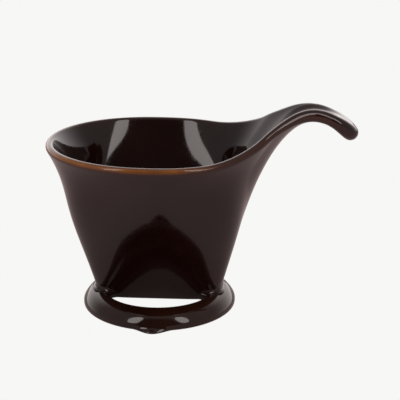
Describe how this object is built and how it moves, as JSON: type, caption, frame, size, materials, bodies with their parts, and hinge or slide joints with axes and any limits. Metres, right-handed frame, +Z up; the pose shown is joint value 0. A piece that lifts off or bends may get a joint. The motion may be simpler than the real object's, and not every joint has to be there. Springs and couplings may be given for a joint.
{
  "type": "pour over dripper",
  "caption": "Dark glazed stoneware pour over dripper: wedge-shaped filter cone on a round flange with side windows, and a curled leaf handle drawn out of the lip.",
  "frame": {"origin": "centre of the round flange, on the plane it rests on", "axes": "+Z up, +X towards the handle, windows and thumb tabs facing -Y and +Y"},
  "size_m": [0.161, 0.104, 0.1105],
  "materials": {
    "glazed_body": "glossy dark brown iron glaze breaking amber on the edges",
    "glazed_base": "glossy dark red-brown iron glaze, pooled a little darker than on the cone",
    "bare_clay": "matt unglazed buff stoneware"
  },
  "bodies": {
    "root": {"filter_cone": "glazed_body", "handle": "glazed_body", "drain_floor": "glazed_body", "front_ribs": "glazed_body", "rear_ribs": "glazed_body", "base_flange": "glazed_base", "front_tab": "glazed_base", "rear_tab": "glazed_base", "foot_ring": "bare_clay"}
  },
  "joints": []
}
